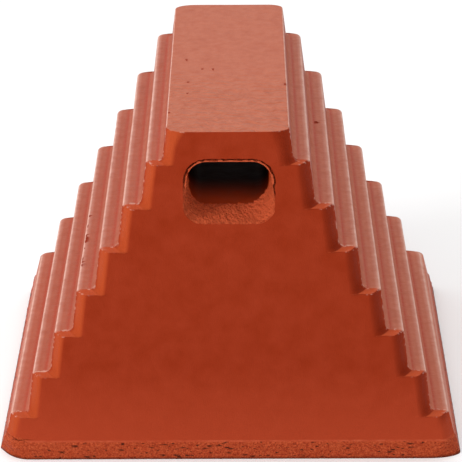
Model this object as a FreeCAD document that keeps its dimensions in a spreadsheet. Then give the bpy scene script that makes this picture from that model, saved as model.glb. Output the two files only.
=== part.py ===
import FreeCAD, Part
import math
import os

import Sketcher

# Rubber wheel chock: one compression moulding in the shape of a stepped ridge.
#
# Frame: origin at the middle of the base on the floor, +Z up, the steps climb
# from both sides along X, and the rope slot runs along Y from end to end.
#
# The mould leaves a stack of levels. Each level is a block with rounded plan
# corners that stands on the floor and leans inwards, and each reaches up to
# its own tread, so the narrower ones rise out of the wider ones. All the
# blocks share the two end planes, which is why the ends are smooth while the
# sides are stepped, and why a small ledge shows at every corner of the ends.

V = FreeCAD.Vector
doc = FreeCAD.newDocument("wheel_chock")

# Driving dimensions, in millimetres
DRIVING_SIZES = [
    ("step_count", 7, "levels below the top block"),
    ("step_rise", 26.1, "height from one tread to the next"),
    ("step_run", 13.5, "distance between neighbouring tread edges"),
    ("riser_lean", 3.4, "how far a riser leans out over one step"),
    ("base_rise", 26.8, "height of the lowest tread above the floor"),
    ("base_lean", 7.0, "how far the lowest riser leans out"),
    ("top_rise", 19.6, "height of the top block above the first tread"),
    ("top_run", 11.3, "from the top block's edge to the first tread's edge"),
    ("top_lean", 2.5, "how far the top block's sides lean out"),
    ("top_width", 66.8, "flat top, across the steps"),
    ("base_length", 205.0, "end to end at the floor"),
    ("end_inset", 8.6, "how far each end plane leans in at the top"),
    ("corner_radius", 7.0, "plan corners of the levels"),
    ("top_corner_radius", 6.3, "plan corners of the top block"),
    ("tread_edge_radius", 1.5, "rounding along the tread edges"),
    ("top_edge_radius", 1.0, "rounding along the edges of the flat top"),
    ("rim_height", 11.0, "trimmed band round the foot"),
    ("rim_proud", 1.2, "how far the band stands out of the sides"),
    ("slot_width", 45.0, "rope slot, across the steps"),
    ("slot_height", 34.8, "rope slot, floor to roof"),
    ("slot_cover", 17.8, "rubber between the slot's roof and the flat top"),
    ("slot_roof_radius", 11.0, "upper corners of the slot"),
    ("slot_floor_radius", 8.5, "lower corners of the slot"),
    ("mouth_lip", 1.7, "how much wider the slot's mouths are, all round"),
    ("mouth_depth", 21.0, "how deep each mouth reaches, at its floor"),
]

sizes = doc.addObject("Spreadsheet::Sheet", "sizes")
for row, (alias, value, note) in enumerate(DRIVING_SIZES, start=1):
    sizes.set(f"A{row}", alias)
    sizes.set(f"B{row}", str(value))
    sizes.set(f"C{row}", note)
    sizes.setAlias(f"B{row}", alias)
doc.recompute()

STEP_COUNT = int(sizes.step_count)
OVERALL_HEIGHT = f"(sizes.base_rise + {STEP_COUNT - 1} * sizes.step_rise + sizes.top_rise)"
END_SLOPE = f"(sizes.end_inset / {OVERALL_HEIGHT})"


# Helpers for sketches
def origin_plane(body, role):
    return next(plane for plane in body.Origin.OriginFeatures if plane.Role == role)


def new_sketch(body, name, role, offset_expression=None):
    """A sketch on one of the body's own planes, set off along its normal."""
    sketch = body.newObject("Sketcher::SketchObject", name)
    sketch.AttachmentSupport = (origin_plane(body, role), [""])
    sketch.MapMode = "FlatFace"
    if offset_expression:
        sketch.setExpression("AttachmentOffset.Base.z", offset_expression)
    return sketch


def bind(sketch, constraint, name, expression):
    """Add a dimension and tie it to the sheet."""
    index = sketch.addConstraint(constraint)
    sketch.renameConstraint(index, name)
    sketch.setExpression(f"Constraints.{name}", expression)


def value_of(expression):
    """The number that an expression over the sheet has now."""
    return float(sizes.evalExpression(expression.replace("sizes.", "")))


def rounded_rectangle(sketch, half_width, bottom, top, bottom_radius, top_radius):
    """An outline symmetric about the sketch's vertical axis, with its two
    lower and its two upper corners rounded. The sizes are expressions."""
    w, low, high = (value_of(size) for size in (half_width, bottom, top))
    r_low, r_high = value_of(bottom_radius), value_of(top_radius)
    corners = [
        (V(w - r_low, low + r_low, 0), r_low, -90),
        (V(w - r_high, high - r_high, 0), r_high, 0),
        (V(-w + r_high, high - r_high, 0), r_high, 90),
        (V(-w + r_low, low + r_low, 0), r_low, 180),
    ]
    arcs = []
    for centre, radius, start in corners:
        circle = Part.Circle(centre, V(0, 0, 1), radius)
        first, last = math.radians(start), math.radians(start + 90)
        arcs.append(sketch.addGeometry(Part.ArcOfCircle(circle, first, last)))
    sides = []
    for this, following in zip(arcs, arcs[1:] + arcs[:1]):
        start = sketch.Geometry[this].EndPoint
        end = sketch.Geometry[following].StartPoint
        sides.append(sketch.addGeometry(Part.LineSegment(start, end)))
    for this, following, side in zip(arcs, arcs[1:] + arcs[:1], sides):
        sketch.addConstraint(Sketcher.Constraint("Tangent", this, 2, side, 1))
        sketch.addConstraint(Sketcher.Constraint("Tangent", side, 2, following, 1))
    right, upper, left, lower = sides
    sketch.addConstraint(Sketcher.Constraint("Vertical", right))
    sketch.addConstraint(Sketcher.Constraint("Vertical", left))
    sketch.addConstraint(Sketcher.Constraint("Horizontal", upper))
    sketch.addConstraint(Sketcher.Constraint("Equal", arcs[0], arcs[3]))
    sketch.addConstraint(Sketcher.Constraint("Equal", arcs[1], arcs[2]))
    sketch.addConstraint(Sketcher.Constraint("Symmetric", lower, 1, lower, 2, -2))
    bind(sketch, Sketcher.Constraint("DistanceX", -1, 1, right, 1, w), "half_width", half_width)
    bind(sketch, Sketcher.Constraint("DistanceY", -1, 1, upper, 1, high), "upper_side", top)
    bind(sketch, Sketcher.Constraint("DistanceY", -1, 1, lower, 1, low), "lower_side", bottom)
    bind(sketch, Sketcher.Constraint("Radius", arcs[0], r_low), "lower_corners", bottom_radius)
    bind(sketch, Sketcher.Constraint("Radius", arcs[1], r_high), "upper_corners", top_radius)


# The levels of the moulding
def edges_where(shape, test):
    """The names of the edges whose two ends pass a test of their heights."""
    return [
        f"Edge{number}"
        for number, edge in enumerate(shape.Edges, start=1)
        if test(*sorted(point.Z for point in edge.Vertexes))
    ]


def upright_edges(shape):
    """A block's four slanted corner edges."""
    return edges_where(shape, lambda low, high: high - low > 1)


def upper_edges(shape):
    """The edges round a block's tread."""
    tread = max(point.Z for point in shape.Vertexes)
    return edges_where(shape, lambda low, high: tread - low < 0.01)


def round_edges(body, name, base, edges, radius):
    """Round the named edges of the body's last feature."""
    rounding = body.newObject("PartDesign::Fillet", name)
    rounding.Base = (base, edges)
    rounding.setExpression("Radius", radius)
    doc.recompute()
    return rounding


def level(name, height, tread_half_width, lean_slope, proud, corner, edge):
    """A leaning block with rounded corners, from the floor up to its tread."""
    body = doc.addObject("PartDesign::Body", name)
    foot_half_length = f"(sizes.base_length / 2 + {proud})"
    half_sizes = {
        "X2": f"({tread_half_width} + {proud})",
        "X": f"({tread_half_width} + {lean_slope} * {height} + {proud})",
        "Z2": f"({foot_half_length} - {END_SLOPE} * {height})",
        "Z": foot_half_length,
    }
    block = body.newObject("PartDesign::AdditiveWedge", f"{name}_block")
    block.AttachmentSupport = (origin_plane(body, "XZ_Plane"), [""])
    block.MapMode = "FlatFace"
    block.setExpression("Ymin", "0")
    block.setExpression("Ymax", height)
    for side, half_size in half_sizes.items():
        block.setExpression(f"{side}min", f"-{half_size}")
        block.setExpression(f"{side}max", half_size)
    doc.recompute()
    cornered = round_edges(body, f"{name}_corners", block, upright_edges(block.Shape), corner)
    if edge:
        round_edges(body, f"{name}_edges", cornered, upper_edges(cornered.Shape), edge)
    return body


def step_levels():
    """The top block, the steps below it, and the band round the foot."""
    bodies = [
        level(
            "top_block",
            OVERALL_HEIGHT,
            "sizes.top_width / 2",
            "(sizes.top_lean / sizes.top_rise)",
            "0",
            "sizes.top_corner_radius",
            "sizes.top_edge_radius",
        )
    ]
    for number in range(1, STEP_COUNT + 1):
        lowest = number == STEP_COUNT
        lean = "(sizes.riser_lean / sizes.step_rise)"
        if lowest:
            lean = "(sizes.base_lean / sizes.base_rise)"
        bodies.append(
            level(
                f"step_{number}",
                f"(sizes.base_rise + {STEP_COUNT - number} * sizes.step_rise)",
                f"(sizes.top_width / 2 + sizes.top_run + {number - 1} * sizes.step_run)",
                lean,
                "0",
                "sizes.corner_radius",
                "sizes.tread_edge_radius",
            )
        )
    lowest_edge = f"sizes.top_width / 2 + sizes.top_run + {STEP_COUNT - 1} * sizes.step_run"
    base_slope = "(sizes.base_lean / sizes.base_rise)"
    rim_half_width = f"({lowest_edge} + {base_slope} * (sizes.base_rise - sizes.rim_height))"
    bodies.append(
        level(
            "foot_band",
            "sizes.rim_height",
            rim_half_width,
            base_slope,
            "sizes.rim_proud",
            "(sizes.corner_radius + sizes.rim_proud)",
            None,
        )
    )
    return bodies


# The rope slot
def slot_outline(body, name, lip, offset_expression):
    """The slot's section, enlarged all round by lip."""
    sketch = new_sketch(body, name, "XZ_Plane", offset_expression)
    roof = f"{OVERALL_HEIGHT} - sizes.slot_cover"
    rounded_rectangle(
        sketch,
        f"sizes.slot_width / 2 + {lip}",
        f"{roof} - sizes.slot_height - {lip}",
        f"{roof} + {lip}",
        f"sizes.slot_floor_radius + {lip}",
        f"sizes.slot_roof_radius + {lip}",
    )
    return sketch


def mouth_floor_inset():
    """How far the end plane has leaned in at the mouth's floor."""
    floor = f"({OVERALL_HEIGHT} - sizes.slot_cover - sizes.slot_height - sizes.mouth_lip)"
    return f"{END_SLOPE} * {floor}"


def cut_slot(body):
    """One tube right through, and a slightly wider mouth at each end."""
    tube = body.newObject("PartDesign::Pocket", "slot_tube")
    tube.Profile = slot_outline(body, "slot_section", "0", "0")
    tube.Type = "ThroughAll"
    tube.Midplane = True
    doc.recompute()
    inner_end = f"(sizes.base_length / 2 - {mouth_floor_inset()} - sizes.mouth_depth)"
    for name, side, reverse in (("front", "", True), ("rear", "-", False)):
        mouth = body.newObject("PartDesign::Pocket", f"{name}_mouth")
        mouth.Profile = slot_outline(body, f"{name}_mouth_section", "sizes.mouth_lip", side + inner_end)
        mouth.Type = "ThroughAll"
        mouth.Reversed = reverse
        doc.recompute()


def chock():
    """All the levels as one solid, with the slot cut through it."""
    parts = step_levels()
    body = doc.addObject("PartDesign::Body", "chock_body")
    whole = body.newObject("PartDesign::Boolean", "levels")
    whole.Type = "Fuse"
    whole.setObjects(parts)
    doc.recompute()
    solid_volume = whole.Shape.Volume
    cut_slot(body)
    cut_volume = solid_volume - body.Shape.Volume
    print(f"solid {solid_volume / 1000:.1f} cm3, cut away {cut_volume / 1000:.1f} cm3")
    return body


chock_body = chock()
chock_body.Label = "chock_body"
SUB_PARTS = [chock_body]

# Checks, then one STEP file for each piece
doc.recompute()
failed = [item.Label for item in doc.Objects if {"Invalid", "Error"} & set(item.State)]
if failed:
    raise RuntimeError(f"these objects failed: {failed}")
os.makedirs("parts", exist_ok=True)
for piece in SUB_PARTS:
    shape = piece.Shape
    if shape.isNull() or not shape.isValid() or len(shape.Solids) != 1:
        raise RuntimeError(f"{piece.Label} is not one valid solid")
    box = shape.optimalBoundingBox(False)
    print(
        f"{piece.Label}: {box.XLength:.1f} x {box.YLength:.1f} x {box.ZLength:.1f} mm, "
        f"{shape.Volume / 1000:.1f} cm3, {len(shape.Faces)} faces"
    )
    shape.exportStep(f"parts/{piece.Label}.step")
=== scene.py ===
# %% [markdown]
# # A rubber wheel chock
#
# The real chock is one compression moulding in brick-red rubber. It has a
# flat top, seven steps down each side, two smooth end faces, a rope slot
# through it near the top, and a rough band round the foot where the flash was
# trimmed off. This lesson dresses the CAD model of it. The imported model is
# loaded first, as a frame that fixes every size, and the visible skin is then
# built over it in the same place.

import math
import random

import bmesh
import bpy
from mathutils import Matrix, Vector, noise
from mathutils.kdtree import KDTree


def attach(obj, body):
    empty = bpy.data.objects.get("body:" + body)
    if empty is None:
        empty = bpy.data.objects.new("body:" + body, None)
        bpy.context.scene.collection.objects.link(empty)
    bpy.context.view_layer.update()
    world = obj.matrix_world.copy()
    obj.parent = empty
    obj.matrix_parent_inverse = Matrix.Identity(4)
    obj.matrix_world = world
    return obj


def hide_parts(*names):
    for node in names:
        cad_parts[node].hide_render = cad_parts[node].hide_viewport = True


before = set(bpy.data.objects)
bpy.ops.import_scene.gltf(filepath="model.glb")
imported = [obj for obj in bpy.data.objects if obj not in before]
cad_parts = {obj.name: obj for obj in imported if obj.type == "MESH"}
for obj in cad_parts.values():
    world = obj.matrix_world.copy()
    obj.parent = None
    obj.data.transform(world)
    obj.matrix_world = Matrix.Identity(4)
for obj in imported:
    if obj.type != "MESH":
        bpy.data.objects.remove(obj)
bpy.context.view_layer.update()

MM = 0.001
PHOTO_SIZE = 462

# %% [markdown]
# ## Sizes
#
# These are the sizes of the moulding in millimetres. The steps, the slot and
# the ends have the CAD model's values. The roots, the wobble and the foot band
# are finer than the solid and belong to the skin. Every later cell reads them
# from here, so the skin lies where the solid is.

# %% Sizes of the moulding
SIZES = {
    "Step rise": 26.1,
    "Step run": 13.5,
    "Riser lean": 3.4,
    "Base rise": 26.8,
    "Base lean": 7.0,
    "Top rise": 19.6,
    "Top run": 11.3,
    "Top lean": 2.5,
    "Top width": 66.8,
    "Base length": 205.0,
    "End inset": 8.6,
    "Tread edge radius": 1.5,
    "Ledge edge radius": 0.6,
    "Top edge radius": 0.8,
    "Root radius": 2.6,
    "Foot edge radius": 0.9,
    "Rim height": 11.0,
    "Rim proud": 1.2,
    "Foot corner": 10.0,
    "Top corner spread": 4.5,
    "Back taper": 0.014,
    "Wobble": 0.14,
    "Corner lumps": 0.32,
    "Rim roughness": 1.1,
}
STEPS = 7
HEIGHT = SIZES["Base rise"] + (STEPS - 1) * SIZES["Step rise"] + SIZES["Top rise"]
END_SLOPE = SIZES["End inset"] / HEIGHT
SLOT = {"width": 45.0, "height": 34.8, "cover": 17.8, "roof radius": 11.0, "floor radius": 8.5}
print("height", HEIGHT, "mm, end slope", round(END_SLOPE, 4))

# %% [markdown]
# ## Arithmetic in a node tree
#
# The skin follows a rule, so a Geometry Nodes tree is the right tool: each
# ring of the mesh takes its place from its row number and the sizes. A tree
# holds one Math node for each sum, which is long to write out. This small
# class wraps a socket, and its operators add the Math nodes.


# %% Node arithmetic
class Field:
    """A number that a node tree works out."""

    def __init__(self, tree, socket):
        self.tree = tree
        self.socket = socket

    def math(self, operation, *others, clamped=False):
        node = self.tree.nodes.new("ShaderNodeMath")
        node.operation = operation
        node.use_clamp = clamped
        for slot, value in zip(node.inputs, (self, *others)):
            feed(self.tree, slot, value)
        return Field(self.tree, node.outputs[0])

    def __add__(self, other):
        return self.math("ADD", other)

    def __sub__(self, other):
        return self.math("SUBTRACT", other)

    def __mul__(self, other):
        return self.math("MULTIPLY", other)

    def __truediv__(self, other):
        return self.math("DIVIDE", other)

    def __neg__(self):
        return self * -1

    def clamp(self):
        return self.math("ADD", 0, clamped=True)

    def above(self, limit):
        return self.math("GREATER_THAN", limit)

    def towards(self, other, share):
        return self + (Field.of(self.tree, other) - self) * share

    @staticmethod
    def of(tree, value):
        if isinstance(value, Field):
            return value
        node = tree.nodes.new("ShaderNodeValue")
        node.outputs[0].default_value = value
        return Field(tree, node.outputs[0])


def feed(tree, slot, value):
    """Link a field to an input, or set the input to a plain value."""
    if isinstance(value, Field):
        tree.links.new(value.socket, slot)
    else:
        slot.default_value = value


def smooth(share):
    """Ease a share of 0 to 1 in and out."""
    return share * share * (share * -2 + 3)


print("arithmetic ready")

# %% [markdown]
# ## Rows and columns
#
# The mould half that shaped the chock is a stack of frames, each a little
# wider than the one above. The mesh is built the same way. A Cube primitive
# gives closed rings of points, and a ring's row says whether it lies on a
# riser, in the root below it, on the tread or on the tread's rounded edge.
# The columns crowd into the four plan corners, where the outline turns.

# %% Rows and columns
TOP_ROWS = 3
RISER_ROWS = 4
ROOT_ROWS = 4
TREAD_ROWS = 3
EDGE_ROWS = 4
LEVEL_ROWS = RISER_ROWS + ROOT_ROWS + TREAD_ROWS + EDGE_ROWS
FOOT_BANDS = ((14.0, 3), (7.0, 11), (0.9, 7), (0.0, 3))
ROWS = TOP_ROWS + STEPS * LEVEL_ROWS + sum(count for _, count in FOOT_BANDS) + 1
COLUMNS_X = 110
COLUMNS_Y = 90
CORNER_COLUMNS = 7
print(ROWS, "rows of", 2 * (COLUMNS_X + COLUMNS_Y - 2), "points")

# %% [markdown]
# ## Plan corners
#
# The mould was cut by hand, and no two corners match. Each corner has a width
# along X, a depth along Y and two chord shares, one where it leaves the riser
# and one where it meets the end face. A share is 0 for a round corner and 1
# for a straight cut, and a straight start gives a crisp crease. At the front
# both corners leave the riser with a crease and run round into the end face,
# the left one nearly straight, and at the back they are small and round. The
# foot's corners spread wider than the steps', and lose their crease.

# %% Plan corners
STEP_CORNERS = {
    "front left": (6.4, 7.4, 1.0, 0.15),
    "front right": (8.2, 7.4, 0.9, 0.0),
    "back left": (4.2, 4.2, 0.1, 0.1),
    "back right": (4.2, 4.2, 0.1, 0.1),
}
TOP_CORNERS = {
    "front left": (6.8, 6.2, 0.9, 0.0),
    "front right": (8.7, 4.9, 0.9, 0.0),
    "back left": (7.6, 6.4, 0.4, 0.0),
    "back right": (4.8, 5.1, 0.4, 0.0),
}
# These three are given for the left and the right side.
FOOT_DEPTH_SHARE = (0.42, -0.1)
FOOT_CREASE_LOSS = (-0.3, -1.0)
BASE_TAPER_LOSS = (0.3, 1.0)
TOP_SPREAD_HEIGHT = 12


def by_corner(corners, index, is_right, is_back):
    """One number of the corner table, picked by the quadrant."""
    tree = is_right.tree
    front = Field.of(tree, corners["front left"][index]).towards(corners["front right"][index], is_right)
    back = Field.of(tree, corners["back left"][index]).towards(corners["back right"][index], is_right)
    return front.towards(back, is_back)


def by_side(pair, is_right):
    """The left or the right number of a pair."""
    return Field.of(is_right.tree, pair[0]).towards(pair[1], is_right)


print(len(STEP_CORNERS), "corners on each level")

# %% [markdown]
# ## The body tree, part one: where a point is on the grid
#
# The tree reads each point's place on the cube, first as a row from the top
# and then as a direction in plan. The turn is 0 where the outline faces along
# X, 1 where it faces along Y, and in between only in the corners.


# %% Grid reading
def grid_reading(tree):
    position = tree.nodes.new("GeometryNodeInputPosition")
    split = tree.nodes.new("ShaderNodeSeparateXYZ")
    tree.links.new(position.outputs[0], split.inputs[0])
    bx, by, bz = (Field(tree, socket) for socket in split.outputs)
    row = (-bz + (ROWS - 1) / 2).math("ROUND")
    size = bx.math("ABSOLUTE").math("MAXIMUM", by.math("ABSOLUTE"))
    across = bx.math("ABSOLUTE") / size
    along = by.math("ABSOLUTE") / size
    corner_x = 2 * CORNER_COLUMNS / (COLUMNS_X - 1)
    corner_y = 2 * CORNER_COLUMNS / (COLUMNS_Y - 1)
    on_side = across.above(0.99999)
    turn_side = ((along - 1 + corner_y) / corner_y).clamp() * 0.5
    turn_end = ((across - 1 + corner_x) / corner_x).clamp() * -0.5 + 1
    return {
        "row": row,
        "size": size,
        "right": bx.above(0),
        "back": by.above(0),
        "turn": turn_end.towards(turn_side, on_side),
        "flat_x": (across / (1 - corner_x)).math("MINIMUM", 1),
        "flat_y": (along / (1 - corner_y)).math("MINIMUM", 1),
    }


print("grid reading ready")

# %% [markdown]
# ## The body tree, part two: the section through the steps
#
# Down each level the profile is a leaning riser, a hollow root, a flat tread
# and a rounded edge. Each part has a share that runs from 0 to 1 over its own
# rows, so the terms simply add up and no row needs a case of its own. On the
# end faces the levels share one plane, and the tread rows only slide down it.


# %% Section through the steps
def level_values(tree, size, level):
    """Tread height, edge half width and lean slope of a level."""
    is_step = level.above(0.5)
    is_base = level.above(STEPS - 0.5)
    tread = size["Base rise"] + size["Step rise"] * (-level + STEPS)
    tread = tread + (size["Top rise"] - size["Step rise"]) * (-is_step + 1)
    edge = size["Top width"] * 0.5 + size["Step run"] * level
    edge = edge + (size["Top run"] - size["Step run"]) * is_step
    slope = (size["Top lean"] / size["Top rise"]).towards(size["Riser lean"] / size["Step rise"], is_step)
    return tread, edge, slope.towards(size["Base lean"] / size["Base rise"], is_base)


def share_of(rows, first, count):
    return ((rows - first) / count).clamp()


def section(tree, size, grid):
    below = grid["row"] - TOP_ROWS
    level = (below / LEVEL_ROWS).math("FLOOR").math("MAXIMUM", 0).math("MINIMUM", STEPS)
    rows = below - level * LEVEL_ROWS
    stepped = -level.above(STEPS - 0.5) + 1
    root_start = RISER_ROWS
    tread_start = root_start + ROOT_ROWS
    edge_start = tread_start + TREAD_ROWS
    return {
        "level": level,
        "stepped": stepped,
        "rows": rows,
        "top": (rows / TOP_ROWS + 1).clamp(),
        "riser": share_of(rows, 0, RISER_ROWS),
        "root": share_of(rows, root_start, ROOT_ROWS) * stepped,
        "tread": share_of(rows, tread_start, TREAD_ROWS) * stepped,
        "edge": share_of(rows, edge_start, EDGE_ROWS) * stepped,
        "slide": share_of(rows, tread_start, TREAD_ROWS + EDGE_ROWS) * stepped,
        "upper": level_values(tree, size, level),
        "lower": level_values(tree, size, level + 1),
    }


print("section ready")

# %% [markdown]
# ## The body tree, part three: heights
#
# A rounded edge starts level and turns down until it meets the slope of its
# riser. That gives the height of every row. The last level has no tread under
# it and runs down through the foot band to the floor.


# %% Heights
def rounding(radius, slope, share):
    """Drop and inset of a rounded edge, at a share of its turn."""
    lean = slope.math("ARCTANGENT")
    turn = (-lean + math.pi / 2) * share
    drop = radius * (-turn.math("COSINE") + 1)
    reach = lean.math("COSINE").math("POWER", -1)
    inset = radius * (reach - slope * turn.math("COSINE") - turn.math("SINE"))
    return drop, inset


def heights(tree, size, grid, rows, on_flat):
    tread, _, slope = rows["upper"]
    next_tread, _, next_slope = rows["lower"]
    is_top = -rows["level"].above(0.5) + 1
    ledge = size["Tread edge radius"].towards(size["Ledge edge radius"], smooth(grid["turn"]))
    radius = ledge.towards(size["Top edge radius"], is_top)
    top_drop, top_inset = rounding(radius, slope, rows["top"])
    full_drop, _ = rounding(radius, slope, 1)
    start = tread - full_drop
    floor_height = next_tread + size["Root radius"]
    z = start.towards(floor_height, rows["riser"])
    foot = start
    done = 0
    for height, count in FOOT_BANDS:
        foot = foot.towards(height, share_of(rows["rows"], done, count))
        done += count
    z = foot.towards(z, rows["stepped"])
    z = z + (full_drop - top_drop) * is_top
    z = z - size["Root radius"] * (rows["root"] * (math.pi / 2)).math("SINE")
    edge_drop, edge_inset = rounding(ledge, next_slope, rows["edge"])
    slide_drop, _ = rounding(ledge, next_slope, 1)
    z = z - edge_drop.towards(slide_drop * rows["slide"], on_flat)
    return z, top_inset * is_top, edge_inset * (-on_flat + 1)


print("heights ready")

# %% [markdown]
# ## The body tree, part four: the outline in plan
#
# At a given height a level is a rounded rectangle. Its half width comes from
# the riser's slope and its half depth from the end plane. The point is placed
# on the outline of its own level and on the next one's, and the tread's share
# slides it from the first to the second.


# %% Outline in plan
def outline(corners, grid, half_width, half_depth):
    wide, deep, chord_side, chord_end = corners
    chord = chord_side.towards(chord_end, grid["turn"])
    angle = grid["turn"] * (math.pi / 2)
    across = angle.math("COSINE").towards(-grid["turn"] + 1, chord)
    along = angle.math("SINE").towards(grid["turn"], chord)
    x = grid["flat_x"] * (half_width - wide) + wide * across
    y = grid["flat_y"] * (half_depth - deep) + deep * along
    return x, y


def placed(tree, size, grid, rows, on_flat):
    """The point's x, y and z in millimetres."""
    z, top_inset, edge_inset = heights(tree, size, grid, rows, on_flat)
    top_height = size["Base rise"] + size["Step rise"] * (STEPS - 1) + size["Top rise"]
    depth = size["Base length"] * 0.5 - size["End inset"] / top_height * z
    step = tuple(by_corner(STEP_CORNERS, i, grid["right"], grid["back"]) for i in range(4))
    top = tuple(by_corner(TOP_CORNERS, i, grid["right"], grid["back"]) for i in range(4))
    is_step = rows["level"].above(0.5)
    wide, deep, *chords = (first.towards(second, is_step) for first, second in zip(top, step))
    trimmed = smooth((-z / size["Rim height"] + 1).clamp())
    spread = ((z - top_height + TOP_SPREAD_HEIGHT) / TOP_SPREAD_HEIGHT).clamp().math("POWER", 2)
    kept = trimmed * by_side(FOOT_CREASE_LOSS, grid["right"]) + 1
    chords = [chord * kept * (-spread * 0.8 + 1) for chord in chords]
    wide = wide + trimmed * size["Foot corner"] + spread * size["Top corner spread"]
    deep = deep + trimmed * size["Foot corner"] * by_side(FOOT_DEPTH_SHARE, grid["right"])
    own = (wide, deep, *chords)
    tread, edge, slope = rows["upper"]
    next_tread, next_edge, next_slope = rows["lower"]
    x1, y1 = outline(own, grid, edge + slope * (tread - z), depth)
    x2, y2 = outline(step, grid, next_edge + next_slope * (next_tread - z), depth)
    angle = grid["turn"] * (math.pi / 2)
    nx, ny = angle.math("COSINE"), angle.math("SINE")
    room = (x2 - x1) * nx + (y2 - y1) * ny
    hollow = size["Root radius"] * (room / (size["Root radius"] * 3)).clamp()
    hollow = hollow * (-(rows["root"] * (math.pi / 2)).math("COSINE") + 1)
    own_push = hollow - top_inset
    x = (x1 + nx * own_push).towards(x2 - nx * edge_inset, rows["tread"])
    y = (y1 + ny * own_push).towards(y2 - ny * edge_inset, rows["tread"])
    band = smooth(((size["Rim height"] + 0.7 - z) / 1.4).clamp()) * size["Rim proud"]
    under = (-z / size["Foot edge radius"] + 1).clamp().math("POWER", 2) * size["Foot edge radius"] * 0.6
    push = band - under
    x = (x + nx * push) * grid["size"] * (grid["right"] * 2 - 1)
    y = (y + ny * push) * grid["size"] * (grid["back"] * 2 - 1)
    to_back = y / size["Base length"] + 0.5
    is_base = rows["level"].above(STEPS - 0.5)
    taper = size["Back taper"] * to_back * (-is_base * by_side(BASE_TAPER_LOSS, grid["right"]) + 1)
    return x * (-taper + 1), y, z


print("outline ready")

# %% [markdown]
# ## The body tree, part five: marks for the colour
#
# The tree knows from the row and the column where the step edges, the riser roots and the front corners
# are, so it stores four marks on the points, and the rubber's colour reads them later. The edge and crease
# marks carry a painted highlight, the toe mark a redder line at the root, and the corner mark the painted
# light and shade of the front corners; the corner mark also makes those corners lumpy. That is surer than
# finding the edges again from the finished mesh.


# %% Marks for the colour
def hump(share):
    """Highest in the middle of a share's run, and cut off at 1."""
    return ((-((share - 0.5).math("ABSOLUTE") * 2) + 1) * 1.8).clamp()


def colour_marks(grid, rows, on_flat):
    halo = (rows["tread"] * 3 - 2).clamp() * (-(rows["edge"] * 8) + 1).clamp() * 0.4
    ridge = hump(rows["edge"]).math("MAXIMUM", halo).math("MAXIMUM", hump(rows["top"]))
    in_front = (-grid["back"] + 1) * grid["row"].above(0.5)
    # The edge and crease marks place painted highlights, and the corner mark places the painted light and
    # shade of the front corners.
    return {
        "edge": ridge * (-on_flat + 1),
        "toe": (rows["root"] * 4 - 3).clamp() * (-(rows["tread"] * 4) + 1).clamp(),
        "corner": grid["turn"] * (-grid["turn"] + 1) * 4 * in_front,
        "crease": grid["flat_y"].above(0.9999) * (-(grid["turn"] * 12) + 1).clamp() * in_front,
    }


print("colour marks ready")

# %% [markdown]
# ## The body tree, part six: wobble and roughness
#
# Rubber shrinks a little as it cures, so no face is quite flat, and the
# trimmed band round the foot was torn and cut. Both are real shape. Three
# noise fields push the points along their normals: a broad and faint one all
# over, one that makes the front corners lumpy, and a fine and stronger one on
# the band.


# %% Wobble
def noise_field(tree, scale, detail, position):
    node = tree.nodes.new("ShaderNodeTexNoise")
    node.inputs["Scale"].default_value = scale
    node.inputs["Detail"].default_value = detail
    tree.links.new(position, node.inputs["Vector"])
    return Field(tree, node.outputs[0]) - 0.5


def wobble(tree, size):
    position = tree.nodes.new("GeometryNodeInputPosition").outputs[0]
    split = tree.nodes.new("ShaderNodeSeparateXYZ")
    tree.links.new(position, split.inputs[0])
    z = Field(tree, split.outputs[2])
    broad = noise_field(tree, 0.03, 2, position) * 2 * size["Wobble"]
    fine = noise_field(tree, 0.3, 6, position) * 2 * size["Rim roughness"]
    marked = tree.nodes.new("GeometryNodeInputNamedAttribute")
    marked.inputs["Name"].default_value = "corner"
    on_corner = Field(tree, marked.outputs["Attribute"])
    lumps = noise_field(tree, 0.22, 3, position) * 2 * size["Corner lumps"] * on_corner
    broad = broad + lumps
    on_band = ((size["Rim height"] + 0.5 - z) / 1.5).clamp()
    standing = (z / 0.9).clamp()
    normal = tree.nodes.new("GeometryNodeInputNormal").outputs[0]
    scaled = tree.nodes.new("ShaderNodeVectorMath")
    scaled.operation = "SCALE"
    tree.links.new(normal, scaled.inputs[0])
    bite = fine - size["Rim roughness"] * 0.5
    feed(tree, scaled.inputs["Scale"], (broad - size["Wobble"] + bite * on_band) * standing)
    return scaled.outputs[0]


print("wobble ready")

# %% [markdown]
# ## The body tree, put together
#
# The parts are joined here, and every size becomes a named input of the tree, so that the tree can grow the
# chock with other sizes. The tree ends by scaling to metres, realizing its instances and setting the
# material.


# %% Body tree
def new_tree(name, inputs):
    tree = bpy.data.node_groups.new(name, "GeometryNodeTree")
    tree.interface.new_socket("Geometry", in_out="INPUT", socket_type="NodeSocketGeometry")
    tree.interface.new_socket("Geometry", in_out="OUTPUT", socket_type="NodeSocketGeometry")
    for label in inputs:
        tree.interface.new_socket(label, in_out="INPUT", socket_type="NodeSocketFloat")
    source = tree.nodes.new("NodeGroupInput")
    fields = {label: Field(tree, source.outputs[label]) for label in inputs}
    return tree, fields


def set_position(tree, geometry, socket_name, vector):
    node = tree.nodes.new("GeometryNodeSetPosition")
    tree.links.new(geometry, node.inputs["Geometry"])
    tree.links.new(vector, node.inputs[socket_name])
    return node.outputs[0]


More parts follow.
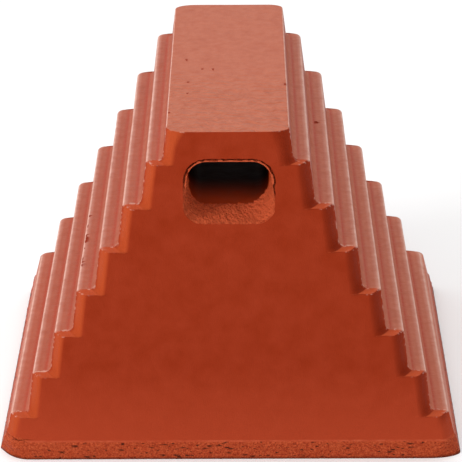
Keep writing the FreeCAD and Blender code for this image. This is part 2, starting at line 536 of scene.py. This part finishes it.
def body_tree(material):
    tree, size = new_tree("chock_skin", SIZES)
    cube = tree.nodes.new("GeometryNodeMeshCube")
    cube.inputs["Size"].default_value = (2, 2, ROWS - 1)
    for label, count in (("Vertices X", COLUMNS_X), ("Vertices Y", COLUMNS_Y), ("Vertices Z", ROWS)):
        cube.inputs[label].default_value = count
    grid = grid_reading(tree)
    rows = section(tree, size, grid)
    on_flat = -grid["flat_x"].above(0.9999) + 1
    place = placed(tree, size, grid, rows, on_flat)
    combined = tree.nodes.new("ShaderNodeCombineXYZ")
    for slot, value in zip(combined.inputs, place):
        feed(tree, slot, value)
    geometry = cube.outputs["Mesh"]
    for name, value in colour_marks(grid, rows, on_flat).items():
        marked = tree.nodes.new("GeometryNodeStoreNamedAttribute")
        marked.inputs["Name"].default_value = name
        tree.links.new(geometry, marked.inputs["Geometry"])
        feed(tree, marked.inputs["Value"], value)
        geometry = marked.outputs[0]
    geometry = set_position(tree, geometry, "Position", combined.outputs[0])
    geometry = set_position(tree, geometry, "Offset", wobble(tree, size))
    metres = tree.nodes.new("GeometryNodeTransform")
    metres.inputs["Scale"].default_value = (MM, MM, MM)
    tree.links.new(geometry, metres.inputs[0])
    realized = tree.nodes.new("GeometryNodeRealizeInstances")
    tree.links.new(metres.outputs[0], realized.inputs[0])
    painted = tree.nodes.new("GeometryNodeSetMaterial")
    painted.inputs["Material"].default_value = material
    tree.links.new(realized.outputs[0], painted.inputs[0])
    output = tree.nodes.new("NodeGroupOutput")
    tree.links.new(painted.outputs[0], output.inputs[0])
    return tree


rubber = bpy.data.materials.new("chock_rubber")
rubber.use_nodes = True
skin_tree = body_tree(rubber)
print(len(skin_tree.nodes), "nodes in the body tree")

# %% [markdown]
# ## Growing the body
#
# The tree is put on an empty mesh, its inputs are set before it first runs,
# and the evaluated result is kept as a plain mesh.


# %% Grow the body
def mesh_object(name, mesh):
    thing = bpy.data.objects.new(name, mesh)
    bpy.context.scene.collection.objects.link(thing)
    return thing


def apply_modifiers(thing):
    """Keep what the modifiers make as the object's own plain mesh."""
    graph = bpy.context.evaluated_depsgraph_get()
    made = bpy.data.meshes.new_from_object(thing.evaluated_get(graph), depsgraph=graph)
    thing.modifiers.clear()
    thing.data = made
    return thing


body = mesh_object("chock_skin", bpy.data.meshes.new("chock_skin"))
grower = body.modifiers.new("grow", "NODES")
grower.node_group = skin_tree
for item in skin_tree.interface.items_tree:
    if item.in_out == "INPUT" and item.name in SIZES:
        grower[item.identifier] = float(SIZES[item.name])
apply_modifiers(body)
low = [min(vertex.co[i] for vertex in body.data.vertices) for i in range(3)]
high = [max(vertex.co[i] for vertex in body.data.vertices) for i in range(3)]
print(len(body.data.polygons), "faces, box in mm", [round(1000 * (b - a), 1) for a, b in zip(low, high)])

# %% [markdown]
# ## The rope slot
#
# The slot was formed by a bar laid through the mould, so it is a plain tube
# with rounded corners. At each mouth the rubber tore as the bar was drawn out.
# The floor is left as a rough ramp about 16 mm long, and round the sides and
# the roof there is a thin ragged lip with a crack outside it. Dense cutters
# hold all of that as rings, and a Boolean takes them out of the body.

# %% Slot outline
SLOT_ROOF = HEIGHT - SLOT["cover"]
SLOT_FLOOR = SLOT_ROOF - SLOT["height"]
SLOT_POINTS = 240
TEAR_DEPTH = 16.0
TEAR_RISE = 2.4


def slot_ring(grow, shift=0.0, lift=0.0, floor_radii=(SLOT["floor radius"], SLOT["floor radius"])):
    """Points round the slot's section, enlarged by grow, its right side moved out and its floor raised."""
    half = SLOT["width"] / 2 + grow
    low, high = SLOT_FLOOR - grow + lift, SLOT_ROOF + grow
    left_radius, right_radius = (radius + grow for radius in floor_radii)
    high_radius = SLOT["roof radius"] + grow
    corners = (
        (half + shift - right_radius, low + right_radius, right_radius, -90),
        (half + shift - high_radius, high - high_radius, high_radius, 0),
        (high_radius - half, high - high_radius, high_radius, 90),
        (left_radius - half, low + left_radius, left_radius, 180),
    )
    path = []
    for cx, cz, radius, start in corners:
        for step in range(13):
            angle = math.radians(start + 90 * step / 12)
            path.append(Vector((cx + radius * math.cos(angle), cz + radius * math.sin(angle))))
    return evenly(path, SLOT_POINTS)


def evenly(path, count):
    """Points at equal distances round a closed path."""
    lengths = [(b - a).length for a, b in zip(path, path[1:] + path[:1])]
    total = sum(lengths)
    points, index, walked = [], 0, 0.0
    for step in range(count):
        target = total * step / count
        while walked + lengths[index] < target:
            walked += lengths[index]
            index += 1
        share = (target - walked) / lengths[index] if lengths[index] else 0
        points.append(path[index].lerp(path[(index + 1) % len(path)], share))
    return points


print("slot from", round(SLOT_FLOOR, 1), "to", round(SLOT_ROOF, 1), "mm")

# %% [markdown]
# ## The torn mouths
#
# How torn a point is depends only on its height in the slot: fully at the
# floor, not at all near the roof. The tube's rings climb the ramp by that
# share, and the lip's recess and the crack outside it fade out by it.

# %% Slot cutters
MOUTH_SHIFT = 1.3
PLAIN_RING = slot_ring(0)
SHIFTED_RING = slot_ring(0, MOUTH_SHIFT)
WIDE_RING = slot_ring(1.95, MOUTH_SHIFT)
CREST_RING = slot_ring(-0.6, MOUTH_SHIFT, TEAR_RISE - 0.6, (11.5, 17.0))
CRACK_RING = slot_ring(0.65, MOUTH_SHIFT)
INNER_RING = slot_ring(-4.0, MOUTH_SHIFT)
SLOT_CENTRE = Vector((0, (SLOT_FLOOR + SLOT_ROOF) / 2))


def eased(share):
    share = min(max(share, 0.0), 1.0)
    return share * share * (3 - 2 * share)


def torn_share(point):
    return eased((SLOT_FLOOR + 25 - point.y) / 19)


def ragged(point, depth, scale, seed):
    return noise.noise(Vector((point.x * scale, depth * scale, point.y * scale + seed)))


def slot_point(point, end_sign, depth):
    """A section point at a depth behind one end face."""
    return Vector((point.x, end_sign * (SIZES["Base length"] / 2 - END_SLOPE * point.y - depth), point.y))


def torn_ring(end_sign, depth):
    """The tube's section at a depth inside one mouth."""
    ring = []
    straightened = eased((depth - 4) / 20)
    for straight, shifted, wide, crest in zip(PLAIN_RING, SHIFTED_RING, WIDE_RING, CREST_RING):
        plain = shifted.lerp(straight, straightened)
        reach = TEAR_DEPTH * (1 + 0.1 * ragged(plain, 0, 0.12, 5 + end_sign))
        settled = eased((depth - reach) / 3)
        torn = wide.lerp(crest, min(max(depth / reach, 0.0), 1.0)).lerp(plain, settled)
        share = torn_share(plain)
        rough = 0.65 * ragged(plain, depth, 0.95, end_sign) + 0.8 * ragged(plain, depth, 0.45, 9 * end_sign)
        point = plain.lerp(torn, share)
        point += (SLOT_CENTRE - point).normalized() * rough * share * (1 - settled)
        ring.append(slot_point(point, end_sign, depth))
    return ring


def mouth_rings(end_sign):
    """Rings of one mouth's recess and crack, from outside the end face inwards."""

    def ring(points, depth, torn_depth, wave):
        made = []
        for point in points:
            here = depth + (torn_depth - depth) * torn_share(point)
            here += 0.25 * depth * ragged(point, 2, 0.3, 3 * end_sign)
            outwards = (point - SLOT_CENTRE).normalized()
            moved = point + outwards * wave * ragged(point, depth, 0.45, 11 * end_sign)
            made.append(slot_point(moved, end_sign, here))
        return made

    return [
        ring(WIDE_RING, -20, -20, 0.3),
        ring(WIDE_RING, 0.05, 0.05, 0.5),
        ring(WIDE_RING, 1.3, 0.3, 0.7),
        ring(WIDE_RING, 2.6, 0.5, 0.7),
        ring(WIDE_RING, 4.6, 0.7, 0.5),
        ring(CRACK_RING, 4.8, 0.7, 0.7),
        ring(CRACK_RING, 2.4, 0.5, 1.1),
        ring(CRACK_RING, 0.7, 0.2, 1.2),
        ring(INNER_RING, 0.9, 0.2, 0.2),
    ]


def kept_mesh(name, shape):
    mesh = bpy.data.meshes.new(name)
    shape.to_mesh(mesh)
    shape.free()
    return mesh


def bridged(shape, rings):
    """Points and walls through rings of equally many places."""
    loops = [[shape.verts.new(place * MM) for place in ring] for ring in rings]
    for first, second in zip(loops, loops[1:]):
        for i, corner in enumerate(first):
            j = (i + 1) % len(first)
            shape.faces.new((corner, first[j], second[j], second[i]))
    return loops


def tube_mesh(name, rings):
    """A closed mesh through rings, with a fan at each end."""
    shape = bmesh.new()
    loops = bridged(shape, rings)
    for loop in (loops[0], loops[-1]):
        centre = shape.verts.new(sum((corner.co for corner in loop), Vector()) / len(loop))
        for i, corner in enumerate(loop):
            shape.faces.new((corner, loop[(i + 1) % len(loop)], centre))
    bmesh.ops.recalc_face_normals(shape, faces=shape.faces)
    return kept_mesh(name, shape)


outside_depths = [-20.0, -0.5]
torn_depths = [0.6 * step for step in range(42)]
tube_rings = [torn_ring(-1, depth) for depth in outside_depths + torn_depths]
tube_rings += [[Vector((p.x, y, p.y)) for p in PLAIN_RING] for y in range(-60, 61, 20)]
tube_rings += [torn_ring(1, depth) for depth in reversed(outside_depths + torn_depths[::2])]
cutters = [mesh_object("slot_tube", tube_mesh("slot_tube", tube_rings))]
for sign in (-1, 1):
    cutters.append(mesh_object("slot_mouth", tube_mesh("slot_mouth", mouth_rings(sign))))
print(len(cutters), "cutters of", [len(cutter.data.polygons) for cutter in cutters], "faces")

# %% [markdown]
# ## The crack at the foot's left corner
#
# When the flash was trimmed, the band tore a little at one corner. A thin
# wedge follows that tear. Its points are given as X, Z and how far in along Y
# it reaches, and it is widest in the middle.

# %% Crack cutter
CRACK_PATH = (
    (-129.4, 12.4, -88.0),
    (-128.2, 12.7, -91.0),
    (-126.4, 13.8, -95.0),
    (-124.8, 14.3, -97.0),
    (-123.0, 13.0, -98.4),
    (-121.2, 12.2, -99.2),
    (-119.1, 12.3, -99.9),
    (-116.5, 12.7, -100.5),
    (-114.4, 12.5, -101.0),
    (-112.4, 12.6, -101.5),
)
CRACK_WIDTH = 1.15
CRACK_OUTSIDE = -112


def crack_mesh(name):
    shape = bmesh.new()
    rings = []
    for i, (x, z, inner) in enumerate(CRACK_PATH):
        half = 0.05 + CRACK_WIDTH / 2 * math.sin(math.pi * (i + 0.3) / len(CRACK_PATH))
        mouth = [Vector((x, CRACK_OUTSIDE, z + half)), Vector((x, CRACK_OUTSIDE, z - half))]
        root = [Vector((x, inner, z - half * 0.3)), Vector((x, inner, z + half * 0.3))]
        rings.append(mouth + root)
    loops = bridged(shape, rings)
    for loop in (loops[0], loops[-1]):
        shape.faces.new(loop)
    bmesh.ops.recalc_face_normals(shape, faces=shape.faces)
    return kept_mesh(name, shape)


cutters.append(mesh_object("corner_crack", crack_mesh("corner_crack")))
print("crack of", len(CRACK_PATH), "points")

# %% [markdown]
# ## Pits
#
# Air was trapped against the mould in places, and the trimming knife tore crumbs out of the foot band. Each
# pit is a small flattened ball cut out of the rubber. The ones that show singly in the photograph are
# listed one by one, and the crumbs are scattered with a fixed seed, more of them near the floor.
# No two balls touch, so one closed mesh holds them all.

# %% Pits
PIT_COUNT = 190
TOP_SPECKS = (
    (-24.2, 6.2),
    (-15.0, -7.6),
    (-8.7, -7.7),
    (-22.7, -26.3),
    (-22.6, -41.7),
    (32.3, -29.7),
    (-32.2, -68.2),
)
RIGHT_TREAD_SPOT = (51.7, 18.9)
TREAD_LINE = (-84.3, 4.0, -62.0, 17)
chance = random.Random(11)


def front_plane(z):
    return SIZES["Base length"] / 2 - END_SLOPE * z


def band_place():
    """A random place on the foot band, and the way the band faces there."""
    z = 0.9 + 9.0 * chance.random() ** 1.6
    share = chance.uniform(-1, 1)
    if chance.random() < 0.7:
        facing = Vector((0, chance.choice((-1, -1, 1)), 0))
        return Vector((118 * share, 0, z)) + facing * (front_plane(z) + SIZES["Rim proud"]), facing
    half = SIZES["Top width"] / 2 + SIZES["Top run"] + SIZES["Step run"] * (STEPS - 1) + SIZES["Base lean"]
    facing = Vector((chance.choice((-1, 1)), 0, 0))
    return Vector((0, 90 * share, z)) + facing * (half + SIZES["Rim proud"] - 0.26 * z), facing


def pit_list():
    """The middle, the three half axes and the facing of every pit, in millimetres."""
    tread = SIZES["Base rise"] + 3 * SIZES["Step rise"]
    spot_height = tread + 2 * SIZES["Step rise"]
    upwards = Vector((0, 0, 1))
    pits = [(Vector((x, y, HEIGHT)), Vector((0.65, 0.6, 0.36)), upwards) for x, y in TOP_SPECKS]
    pits.append((Vector((*RIGHT_TREAD_SPOT, spot_height)), Vector((1.2, 1.4, 0.35)), upwards))
    line_x, line_start, line_end, line_count = TREAD_LINE
    for step in range(line_count):
        y = line_start + (line_end - line_start) * step / (line_count - 1)
        x = line_x + chance.uniform(-0.9, 0.9)
        pits.append((Vector((x, y, tread)), Vector((0.75, chance.uniform(0.7, 2.0), 0.36)), upwards))
    for _ in range(1500):
        place, facing = band_place()
        size = chance.uniform(0.35, 0.95)
        axes = Vector((size * chance.uniform(1, 1.8), size, size * 0.75))
        if all((place - other).length > max(axes) + max(reach) + 0.3 for other, reach, _ in pits):
            pits.append((place, axes, facing))
        if len(pits) == PIT_COUNT:
            break
    return pits


def pit_mesh(name, pits):
    shape = bmesh.new()
    for place, axes, _ in pits:
        matrix = Matrix.Translation(place * MM) @ Matrix.Diagonal((*(axes * MM), 1))
        bmesh.ops.create_icosphere(shape, subdivisions=2, radius=1, matrix=matrix)
    return kept_mesh(name, shape)


pits = pit_list()
cutters.append(mesh_object("pits", pit_mesh("pits", pits)))
print(len(pits), "pits")

# %% [markdown]
# ## Cutting
#
# The cutters are taken out in one go. The Manifold solver is quick on meshes
# as dense as these, and all of them are closed.

# %% Cut the body
for cutter in cutters:
    cut = body.modifiers.new("cut", "BOOLEAN")
    cut.operation = "DIFFERENCE"
    cut.solver = "MANIFOLD"
    cut.object = cutter
apply_modifiers(body)
for cutter in cutters:
    bpy.data.objects.remove(cutter)
triangles = sum(len(face.vertices) - 2 for face in body.data.polygons)
print("the cut body has", triangles, "triangles")

# %% [markdown]
# ## Marking the pits
#
# The inside of a pit is painted darker than the skin, as painted shade. A point that lies on a ball and
# below the skin is marked, and the rubber's colour reads the mark. The specks on the top and the tread show
# red, so theirs is weak.

# %% Mark the pits
finder = KDTree(len(pits))
for index, pit in enumerate(pits):
    finder.insert(pit[0], index)
finder.balance()
in_pit = body.data.attributes.new("pit", "FLOAT", "POINT")
for vertex in body.data.vertices:
    place = vertex.co / MM
    for middle, index, _ in finder.find_range(place, 2.2):
        _, axes, facing = pits[index]
        offset = place - middle
        reach = Vector([a / b for a, b in zip(offset, axes)]).length
        if 0.85 < reach < 1.02 and offset.dot(facing) < -0.12:
            in_pit.data[vertex.index].value = 0.12 if facing.z else 1.0
print(sum(item.value > 0 for item in in_pit.data), "points marked")

# %% [markdown]
# ## Shading of the mesh
#
# Smooth shading suits moulded rubber, but an edge sharper than 26 degrees has
# to stay crisp, such as the slot's rim and the creases of the plan corners.

# %% Smooth faces and sharp edges
CRISP_ANGLE = math.radians(26)
body.data.polygons.foreach_set("use_smooth", [True] * len(body.data.polygons))
shape = bmesh.new()
shape.from_mesh(body.data)
open_edges = sum(1 for edge in shape.edges if len(edge.link_faces) != 2)
for edge in shape.edges:
    edge.smooth = edge.calc_face_angle(math.pi) < CRISP_ANGLE
shape.to_mesh(body.data)
shape.free()
body.data.materials.clear()
body.data.materials.append(rubber)
print("open edges:", open_edges)

# %% [markdown]
# ## Rubber
#
# The rubber is a deep brick red and hardly shines. Its colour is mixed from a
# dark red up in layers, each with a share of its own, as a painter glazes. Two
# small helpers read the object's own millimetres, so that the pattern stays on
# the chock wherever it goes, and mix one layer.


# %% Rubber tones
def in_millimetres(tree):
    """The object's own x, y and z in millimetres, and the upward share of the normal."""
    coordinates = tree.nodes.new("ShaderNodeTexCoord").outputs["Object"]
    place = tree.nodes.new("ShaderNodeSeparateXYZ")
    tree.links.new(coordinates, place.inputs[0])
    normal = tree.nodes.new("ShaderNodeSeparateXYZ")
    tree.links.new(tree.nodes.new("ShaderNodeNewGeometry").outputs["Normal"], normal.inputs[0])
    x, y, z = (Field(tree, socket) * 1000 for socket in place.outputs)
    return x, y, z, Field(tree, normal.outputs[2])


def vector(tree, x, y, z):
    node = tree.nodes.new("ShaderNodeCombineXYZ")
    for slot, value in zip(node.inputs, (x, y, z)):
        feed(tree, slot, value)
    return node.outputs[0]


def tinted(tree, colour, tint, share):
    """A colour socket mixed towards a plain colour."""
    node = tree.nodes.new("ShaderNodeMix")
    node.data_type = "RGBA"
    feed(tree, node.inputs[0], share)
    tree.links.new(colour, node.inputs[6])
    node.inputs[7].default_value = (*tint, 1)
    return node.outputs[2]


print("tones ready")

# %% [markdown]
# ## Where each tone lies
#
# A pale tone lies on the faces that point up, and more faintly on the leaning risers. It is partly a bloom,
# as on stored rubber, and partly painted sheen, the reflection of the bright room above; the right risers
# get less of it, as painted shade. It stops in front where the plan corners start, which leaves the small
# ledges red, and their brighter orange is painted light from above. The torn floor of the slot is rough and
# painted bright, partly as painted light, the tube wall behind it is painted lit, and deeper in it is
# painted dark as shade. The lower 60 mm are painted lighter towards the floor, as light thrown up from it.
# These places follow from the sizes, so plain sums on the coordinates give them as shares.


# %% Places of the tones
LEDGE_DEPTH = STEP_CORNERS["front left"][1]
SLOT_SIDE_MARGIN = 3.0
SLOT_MARGIN = 2.6
TUBE_SHADE_LENGTH = 34
RIGHT_RISER_PAINTED_SHADE = 0.12


def rubber_masks(tree, x, y, z, up):
    """Shares of 0 to 1 for each kind of surface."""
    end_plane = z * -END_SLOPE + SIZES["Base length"] / 2
    from_end = end_plane - y.math("ABSOLUTE")
    from_front = end_plane + y
    on_top = z.above(HEIGHT - 3)
    straight = ((from_front - LEDGE_DEPTH) / 0.4).clamp().math("MAXIMUM", on_top * up.above(0.85))
    near_slot = x.math("ABSOLUTE").math("LESS_THAN", SLOT["width"] / 2 + SLOT_SIDE_MARGIN)
    near_slot = near_slot * z.above(SLOT_FLOOR - SLOT_MARGIN) * z.math("LESS_THAN", SLOT_ROOF + SLOT_MARGIN)
    inside = near_slot * from_end.above(0.3)
    flat = smooth(((up - 0.93) / 0.05).clamp())
    sloped = smooth(((up - 0.04) / 0.2).clamp())
    right = x.above(0)
    # Painted shade: the tube goes dark from behind the torn floor inwards.
    deep = smooth(((from_end - TEAR_DEPTH - 4) / TUBE_SHADE_LENGTH).clamp()) * inside
    torn = inside * from_end.math("LESS_THAN", TEAR_DEPTH + 0.5)
    torn_up = smooth(((-x - 113) / 10).clamp()) * (-y / 90).clamp() * 3.5
    return {
        # Bloom with painted sheen on faces that point up, fainter on the risers, and less on the right
        # risers as painted shade.
        "bloom_and_sheen": sloped.towards(flat, right * RIGHT_RISER_PAINTED_SHADE) * straight * (-inside + 1),
        "flat": flat * straight * (-inside + 1),
        # The ledges carry no bloom, and their brighter orange is painted light from above.
        "ledge": flat * (-straight + 1) * (-inside + 1),
        "side": ((from_front - 6) / 1.5).clamp() * (-inside + 1),
        "torn": torn,
        "deep": deep,
        "lit_tube_wall": inside * (-torn + 1),
        "top": on_top,
        "left": (-x).above(0),
        "raised": ((z - 20) / 8).clamp(),
        "front": smooth(((-y + 5) / 60).clamp()),
        "band": ((-z + SIZES["Rim height"] + 0.3 + torn_up) / 0.5).clamp(),
        "low": ((-z + 60) / 60).clamp(),
        "foot": ((-z + 1.6) / 1.2).clamp(),
    }


print("places ready")

# %% [markdown]
# ## The layers of colour
#
# Each tone has a name here. The steps' edges get a pale painted highlight, a redder line runs along the
# crease at the foot of each riser, the trimmed band is speckled with lighter and darker grains, and a pale
# painted highlight runs along its top. Noise breaks these tones up, so that none of them ends in a clean
# line.


# %% Layers of colour
TONES = {
    "dark red": (0.250, 0.0230, 0.0050),
    "brick red": (0.315, 0.0360, 0.0120),
    "painted floor bounce": (0.400, 0.0520, 0.0190),
    "lit corner": (0.390, 0.0560, 0.0150),
    "shaded corner": (0.200, 0.0170, 0.0040),
    "bloom_and_sheen": (0.485, 0.132, 0.067),
    "ledge": (0.460, 0.072, 0.024),
    "toe line": (0.420, 0.048, 0.013),
    "painted edge highlight": (0.680, 0.390, 0.310),
    "trimmed band": (0.440, 0.062, 0.018),
    "light grains": (0.560, 0.100, 0.035),
    "dark grains": (0.290, 0.028, 0.010),
    "rim highlight": (0.560, 0.120, 0.055),
    "torn rubber and painted light": (0.520, 0.085, 0.030),
    "lit tube wall": (0.500, 0.062, 0.012),
    "painted tube shade": (0.020, 0.005, 0.002),
    "pits": (0.050, 0.009, 0.004),
}


def attribute(tree, name):
    node = tree.nodes.new("ShaderNodeAttribute")
    node.attribute_name = name
    return Field(tree, node.outputs["Fac"])


def rubber_colour(tree, place, z, mask, pits):
    """The base colour, and the shares of bloom with painted sheen and of painted edge highlight."""
    mottle = (noise_field(tree, 0.09, 8, place) * 1.5 + 0.5).clamp()
    patches = noise_field(tree, 0.22, 5, place) + 0.5
    in_pit = attribute(tree, "pit")
    bloom_and_sheen = mask["bloom_and_sheen"] * (patches * 0.7 + 0.55).clamp() * (-(in_pit * 9) + 1).clamp()
    grains = noise_field(tree, 0.95, 4, place)
    # Painted highlight along the top of the proud foot band.
    from_rim = (z - SIZES["Rim height"] - 0.5).math("ABSOLUTE")
    rim_highlight = (-(from_rim / 0.8) + 1).clamp() * (patches * 2 - 0.5).clamp()
    # Painted highlights: noisy glints, the pale step edges with their halo, and the crease line of the
    # front corners.
    glints = ((noise_field(tree, 0.5, 3, place) - 0.03) * 12).clamp() * 0.55
    edge_highlight = attribute(tree, "edge") * (patches * 1.3 + 0.15).clamp() * mask["side"].math("MAXIMUM", glints)
    toe = attribute(tree, "toe") * (patches * 2 - 0.1).clamp() * mask["bloom_and_sheen"]
    corner = attribute(tree, "corner")
    crease = attribute(tree, "crease") * glints * 1.5
    # Painted light: the share of bloom and painted sheen is smaller on the left, where the lamp falls, and
    # grows towards the front of the top.
    bloom_and_sheen_share = Field.of(tree, 1.0).towards(0.7, mask["left"])
    bloom_and_sheen_share = bloom_and_sheen_share.towards(mask["front"] * 0.12 + 0.86, mask["top"])
    layers = {
        "brick red": mottle,
        # Painted light: lighter towards the floor over the lower 60 mm, as light thrown up from the floor.
        "painted floor bounce": mask["low"],
        "lit corner": (corner * 1.3).clamp() * mask["left"],
        "shaded corner": corner * (-mask["left"] + 1) * mask["raised"] * 0.7,
        "bloom_and_sheen": bloom_and_sheen * bloom_and_sheen_share,
        # Painted light: a brighter orange on the unbloomed ledges, for light from above.
        "ledge": mask["ledge"],
        "toe line": toe,
        # painted highlight on the step edges and the corner creases
        "painted edge highlight": edge_highlight.math("MAXIMUM", crease) * 0.9,
        "trimmed band": mask["band"],
        "light grains": (grains * 5).clamp() * mask["band"],
        "dark grains": (grains * -5).clamp() * mask["band"],
        "rim highlight": rim_highlight * 0.7,
        # The torn floor's rough rubber, painted brighter as painted light.
        "torn rubber and painted light": mask["torn"],
        # Painted light: the tube wall is painted brighter, as light reaching into the slot.
        "lit tube wall": mask["lit_tube_wall"],
        # painted shade deep in the tube
        "painted tube shade": mask["deep"],
        "pits": pits,
    }
    node = tree.nodes.new("ShaderNodeRGB")
    node.outputs[0].default_value = (*TONES["dark red"], 1)
    colour = node.outputs[0]
    for name, share in layers.items():
        colour = tinted(tree, colour, TONES[name], share)
    return colour, bloom_and_sheen, edge_highlight


print(len(TONES), "tones")

# %% [markdown]
# ## The rubber, put together
#
# The bump adds only what is too fine for the mesh: cross lines from the mould on the treads and on the
# front half of the top, a grain all over, and pores on the torn rubber. The bloom with its painted sheen
# and the painted edge highlights shine a little more than the bare rubber does.


# %% Rubber material
def rubber_material(material):
    tree = material.node_tree
    shader = tree.nodes["Principled BSDF"]
    x, y, z, up = in_millimetres(tree)
    mask = rubber_masks(tree, x, y, z, up)
    place = vector(tree, x, y, z)
    rough_place = mask["band"].math("MAXIMUM", mask["torn"])
    pores = noise_field(tree, 1.1, 6, place)
    holes = noise_field(tree, 0.42, 6, vector(tree, x * 0.6, y * 0.6, z * 1.5))
    # Painted shade: dark in the band's holes, along the band's bottom edge at the floor, and in the marked
    # pits.
    pits = ((-holes - 0.115 + mask["foot"] * 0.05) * 16).clamp() * mask["band"]
    pits = pits.math("MAXIMUM", mask["foot"] * mask["band"] * 0.75)
    pits = pits.math("MAXIMUM", attribute(tree, "pit") * 0.8)
    colour, bloom_and_sheen, edge_highlight = rubber_colour(tree, place, z, mask, pits)
    tree.links.new(colour, shader.inputs["Base Color"])
    gloss = bloom_and_sheen * 0.2 + edge_highlight * 0.2 + rough_place * 0.04 + 0.02
    feed(tree, shader.inputs["Specular IOR Level"], gloss)
    shader.inputs["Roughness"].default_value = 0.48
    waves = noise_field(tree, 0.11, 2, place) * 2.5
    lines = noise_field(tree, 1, 3, vector(tree, x * 0.11, y * 0.34 + waves, z * 0.3))
    lined = mask["flat"] * (mask["front"] * 7).towards(0.7, -mask["top"] + 1)
    grain = noise_field(tree, 1.5, 4, place)
    flow = noise_field(tree, 0.16, 5, place)
    grained = attribute(tree, "corner") * 1.6
    height = lines * lined * 1.3 + grain * 0.5 + flow * 1.5 + pores * grained
    height = height + (pores * 6 - holes * 2) * rough_place
    bump = tree.nodes.new("ShaderNodeBump")
    bump.inputs["Strength"].default_value = 0.7
    bump.inputs["Distance"].default_value = 0.0004
    feed(tree, bump.inputs["Height"], height)
    tree.links.new(bump.outputs[0], shader.inputs["Normal"])


rubber_material(rubber)
print(len(rubber.node_tree.nodes), "nodes in the rubber")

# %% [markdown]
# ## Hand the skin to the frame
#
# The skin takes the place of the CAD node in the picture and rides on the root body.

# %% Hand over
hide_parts("chock_body")
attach(body, "root")
print("skin handed over")

# %% [markdown]
# ## The camera
#
# The photograph looks at one end face from above. The view was found by
# fitting a pinhole camera to the step edges: 27 degrees above the horizon,
# 1.27 m away, with a long lens. The object stays square to the axes, and the
# camera goes round it by the small angle at which the real one was turned.

# %% Camera
CAMERA_ELEVATION = 0.47124
CAMERA_TURN = 0.00704
CAMERA_DISTANCE = 1268.9
CAMERA_ROLL = 0.00725
FOCAL_PIXELS = 2124.8
OPTICAL_CENTRE = (229.40, 216.17)
AIM_HEIGHT = 104.4

view_direction = Vector((0, math.cos(CAMERA_ELEVATION), -math.sin(CAMERA_ELEVATION)))
view_up = Vector((0, math.sin(CAMERA_ELEVATION), math.cos(CAMERA_ELEVATION)))
unturn = Matrix.Rotation(CAMERA_TURN, 3, "Z")
look = unturn @ view_direction
up = Matrix.Rotation(CAMERA_ROLL, 3, look) @ (unturn @ view_up)
right = look.cross(up)
camera_data = bpy.data.cameras.new("photo_camera")
camera_data.sensor_width = 36
camera_data.lens = FOCAL_PIXELS * camera_data.sensor_width / PHOTO_SIZE
camera_data.shift_x = (PHOTO_SIZE / 2 - OPTICAL_CENTRE[0]) / PHOTO_SIZE
camera_data.shift_y = (OPTICAL_CENTRE[1] - PHOTO_SIZE / 2) / PHOTO_SIZE
camera = bpy.data.objects.new("photo_camera", camera_data)
orientation = Matrix((right, up, -look)).transposed().to_4x4()
aim = Vector((0, 0, AIM_HEIGHT * MM))
camera.matrix_world = Matrix.Translation(aim - look * CAMERA_DISTANCE * MM) @ orientation
bpy.context.scene.collection.objects.link(camera)
bpy.context.scene.camera = camera
print("camera at", [round(x, 4) for x in camera.location], "lens", round(camera_data.lens, 1))

# %% [markdown]
# ## Floor and light
#
# The floor is a plain pale sheet. The room is bright above and behind the
# chock and dim in front, which leaves the end face rich and puts the sheen on
# the top and the treads, and it is a little dimmer on the right. A soft lamp
# stands high on the left, and a weak one in front reaches into the slot. The
# camera alone sees the room as plain white.

# %% Studio
floor = mesh_object("floor", bpy.data.meshes.new("floor"))
floor.data.from_pydata([(-6, -6, 0), (6, -6, 0), (6, 6, 0), (-6, 6, 0)], [], [(0, 1, 2, 3)])
paper = bpy.data.materials.new("paper")
paper.use_nodes = True
sheet = paper.node_tree.nodes["Principled BSDF"]
sheet.inputs["Base Color"].default_value = (0.94, 0.94, 0.94, 1)
sheet.inputs["Roughness"].default_value = 0.9
sheet.inputs["Specular IOR Level"].default_value = 0.0
floor.data.materials.append(paper)


def soft_lamp(name, place, target, size, watts):
    data = bpy.data.lights.new(name, "AREA")
    data.shape = "SQUARE"
    data.size = size
    data.energy = watts
    lamp = bpy.data.objects.new(name, data)
    lamp.location = place
    lamp.rotation_euler = (Vector(target) - Vector(place)).to_track_quat("-Z", "Y").to_euler()
    bpy.context.scene.collection.objects.link(lamp)
    return lamp


soft_lamp("key", (-1.7, -1.0, 1.1), (0, 0, 0.1), 0.7, 23)
soft_lamp("fill", (0.2, -2.2, 1.25), (0, 0, 0.12), 0.9, 6.5)

world = bpy.data.worlds.new("studio")
world.use_nodes = True
sky = world.node_tree
view = Field(sky, sky.nodes.new("ShaderNodeLightPath").outputs["Is Camera Ray"])
heading = sky.nodes.new("ShaderNodeSeparateXYZ")
sky.links.new(sky.nodes.new("ShaderNodeTexCoord").outputs["Generated"], heading.inputs[0])
height = Field(sky, heading.outputs[2])
behind = (Field(sky, heading.outputs[1]) * 0.5 + 0.5).clamp()
dimmer_right = Field(sky, heading.outputs[0]) * -0.08 + 1
glow = ((height * 1.6).clamp() * 0.68 + behind * 0.55 + 0.10) * dimmer_right
feed(sky, sky.nodes["Background"].inputs["Strength"], glow.towards(1.0, view))
sky.nodes["Background"].inputs["Color"].default_value = (1, 1, 1, 1)
bpy.context.scene.world = world
bpy.context.scene.view_settings.view_transform = "Standard"
print("studio ready")
